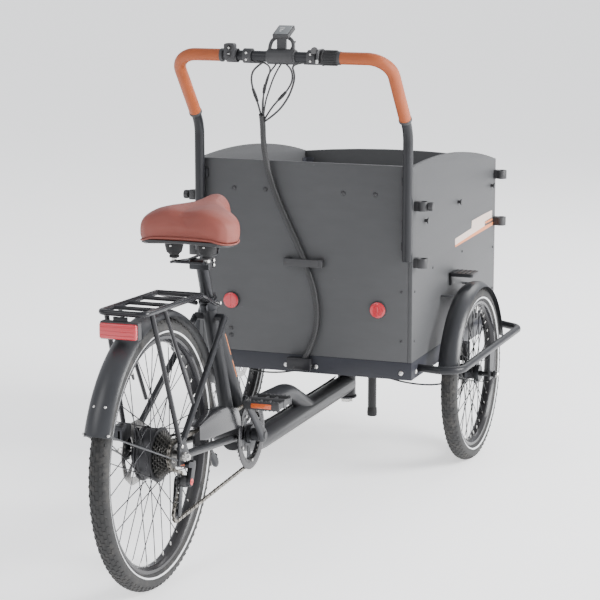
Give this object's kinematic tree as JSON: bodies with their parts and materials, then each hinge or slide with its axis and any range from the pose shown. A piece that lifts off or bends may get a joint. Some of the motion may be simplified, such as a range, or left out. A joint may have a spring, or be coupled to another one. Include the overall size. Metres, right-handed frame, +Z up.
{
  "type": "front box cargo tricycle",
  "caption": "Pedal-assist cargo tricycle: wooden front box steered with an inverted-U handlebar, rear drive wheel with hub motor, rack and wide saddle.",
  "frame": {"origin": "centre of the footprint on the ground", "axes": "+Y forward, +X to the rider's right, +Z up"},
  "size_m": [0.912, 2.242, 1.2979],
  "materials": {
    "frame_paint": "satin powder coat",
    "black_steel": "gloss black",
    "panel": "dark film-faced board",
    "apron": "satin dark grey",
    "rubber": "matt tread",
    "rim_black": "black anodised",
    "steel": "bright",
    "chain_steel": "oiled",
    "black_plastic": "fine grain",
    "gloss_plastic": "gloss",
    "red_lens": "prismatic",
    "orange_lens": "prismatic",
    "saddle_vinyl": "soft vinyl",
    "grip_leather": "stitched sleeve",
    "cable_black": "satin",
    "belt_web": "woven webbing",
    "cushion_fabric": "woven"
  },
  "bodies": {
    "rear_frame": {"main_frame": "frame_paint", "rear_stays": "frame_paint", "rear_rack": "frame_paint", "rear_fender": "black_plastic", "rear_light": "red_lens", "rear_caliper": "black_steel", "seat_collar": "black_steel", "rear_axle": "steel", "kingpin": "steel", "derailleur": "black_plastic", "chain": "chain_steel", "chain_cover": "gloss_plastic", "frame_cable": "cable_black"},
    "crankset": {"chainring": "black_steel", "crank_arms": "black_steel"},
    "right_pedal": {"pedal_right": "black_plastic"},
    "left_pedal": {"pedal_left": "black_plastic"},
    "cassette_body": {"cassette": "steel"},
    "upper_jockey": {"upper_pulley": "black_plastic"},
    "lower_jockey": {"lower_pulley": "black_plastic"},
    "rear_wheel": {"rear_tyre": "rubber", "rear_rim": "rim_black", "rear_hub": "black_steel"},
    "left_front_wheel": {"front_left_tyre": "rubber", "front_left_wheel": "rim_black"},
    "right_front_wheel": {"front_right_tyre": "rubber", "front_right_wheel": "rim_black"},
    "box": {"side_panel_right": "panel", "side_panel_left": "panel", "rear_panel": "panel", "front_panel": "panel", "box_frame": "apron", "undercarriage": "frame_paint", "front_axles": "frame_paint", "wheel_guards": "frame_paint", "front_fenders": "black_plastic", "handlebar": "frame_paint", "bar_sleeves": "grip_leather", "brake_housings": "black_plastic", "display": "black_plastic", "control_pad": "black_plastic", "harness": "cable_black", "pole_clips": "black_plastic", "reflectors": "red_lens", "panel_bolts": "steel", "inner_boards": "panel", "seat_belts": "belt_web", "battery": "black_plastic"},
    "right_lever": {"brake_lever_right": "black_steel"},
    "left_lever": {"brake_lever_left": "black_steel"},
    "button_lower": {"button_down": "black_plastic"},
    "button_upper": {"button_up": "black_plastic"},
    "gear_twist": {"twist_shifter": "black_plastic"},
    "right_knob": {"clamp_knob_right": "black_plastic"},
    "left_knob": {"clamp_knob_left": "black_plastic"},
    "bench": {"bench_board": "panel", "bench_cushion": "cushion_fabric"},
    "saddle_post": {"seat_post": "black_steel", "saddle_frame": "steel", "saddle": "saddle_vinyl"}
  },
  "joints": [
    {"name": "steer", "type": "hinge", "parent": "rear_frame", "child": "box", "pos_m": [0, 0.63, 0.3], "axis": [0, 0, 1], "range_deg": [-30, 30]},
    {"name": "crank_spin", "type": "hinge", "parent": "rear_frame", "child": "crankset", "pos_m": [0, -0.304, 0.269], "axis": [1, 0, 0], "continuous": true},
    {"name": "pedal_right_spin", "type": "hinge", "parent": "crankset", "child": "right_pedal", "pos_m": [0.15, -0.42525, 0.38815], "axis": [1, 0, 0], "continuous": true},
    {"name": "pedal_left_spin", "type": "hinge", "parent": "crankset", "child": "left_pedal", "pos_m": [-0.15, -0.18275, 0.14985], "axis": [1, 0, 0], "continuous": true},
    {"name": "cassette_spin", "type": "hinge", "parent": "rear_frame", "child": "cassette_body", "pos_m": [0.04, -0.79, 0.33], "axis": [1, 0, 0], "continuous": true},
    {"name": "upper_jockey_spin", "type": "hinge", "parent": "rear_frame", "child": "upper_jockey", "pos_m": [0.052, -0.762, 0.262], "axis": [1, 0, 0], "continuous": true},
    {"name": "lower_jockey_spin", "type": "hinge", "parent": "rear_frame", "child": "lower_jockey", "pos_m": [0.052, -0.776, 0.186], "axis": [1, 0, 0], "continuous": true},
    {"name": "rear_wheel_spin", "type": "hinge", "parent": "rear_frame", "child": "rear_wheel", "pos_m": [0, -0.79, 0.33], "axis": [1, 0, 0], "continuous": true},
    {"name": "front_left_spin", "type": "hinge", "parent": "box", "child": "left_front_wheel", "pos_m": [-0.381, 0.651, 0.257], "axis": [1, 0, 0], "continuous": true},
    {"name": "front_right_spin", "type": "hinge", "parent": "box", "child": "right_front_wheel", "pos_m": [0.381, 0.651, 0.257], "axis": [1, 0, 0], "continuous": true},
    {"name": "brake_right", "type": "hinge", "parent": "box", "child": "right_lever", "pos_m": [0.1, 0.106, 1.22], "axis": [0, 0, 1], "range_deg": [0, 10], "stiffness_Nm_per_rad": 0.6, "springref_deg": -5.73},
    {"name": "brake_left", "type": "hinge", "parent": "box", "child": "left_lever", "pos_m": [-0.1, 0.106, 1.22], "axis": [0, 0, -1], "range_deg": [0, 10], "stiffness_Nm_per_rad": 0.6, "springref_deg": -5.73},
    {"name": "press_down", "type": "slide", "parent": "box", "child": "button_lower", "axis": [0, 1, 0], "range_m": [0, 0.0018], "stiffness_N_per_m": 300, "springref_m": -0.001},
    {"name": "press_up", "type": "slide", "parent": "box", "child": "button_upper", "axis": [0, 1, 0], "range_m": [0, 0.0018], "stiffness_N_per_m": 300, "springref_m": -0.001},
    {"name": "gear_shift", "type": "hinge", "parent": "box", "child": "gear_twist", "pos_m": [0.14, 0.072, 1.217], "axis": [1, 0, 0], "range_deg": [-60, 60]},
    {"name": "knob_right_turn", "type": "hinge", "parent": "box", "child": "right_knob", "pos_m": [0.365, 0.276, 0.801], "axis": [1, 0, 0], "range_deg": [-180, 180]},
    {"name": "knob_left_turn", "type": "hinge", "parent": "box", "child": "left_knob", "pos_m": [-0.365, 0.276, 0.801], "axis": [1, 0, 0], "range_deg": [-180, 180]},
    {"name": "bench_lid", "type": "hinge", "parent": "box", "child": "bench", "pos_m": [0, 0.564, 0.585], "axis": [-1, 0, 0], "range_deg": [0, 65]},
    {"name": "saddle_height", "type": "slide", "parent": "rear_frame", "child": "saddle_post", "axis": [0, -0.3551, 0.9348], "range_m": [-0.04, 0.1]}
  ],
  "couplings": [
    {"joint": "cassette_spin", "follows": "crank_spin", "ratio": 2.5},
    {"joint": "upper_jockey_spin", "follows": "crank_spin", "ratio": -4},
    {"joint": "lower_jockey_spin", "follows": "crank_spin", "ratio": 4}
  ]
}
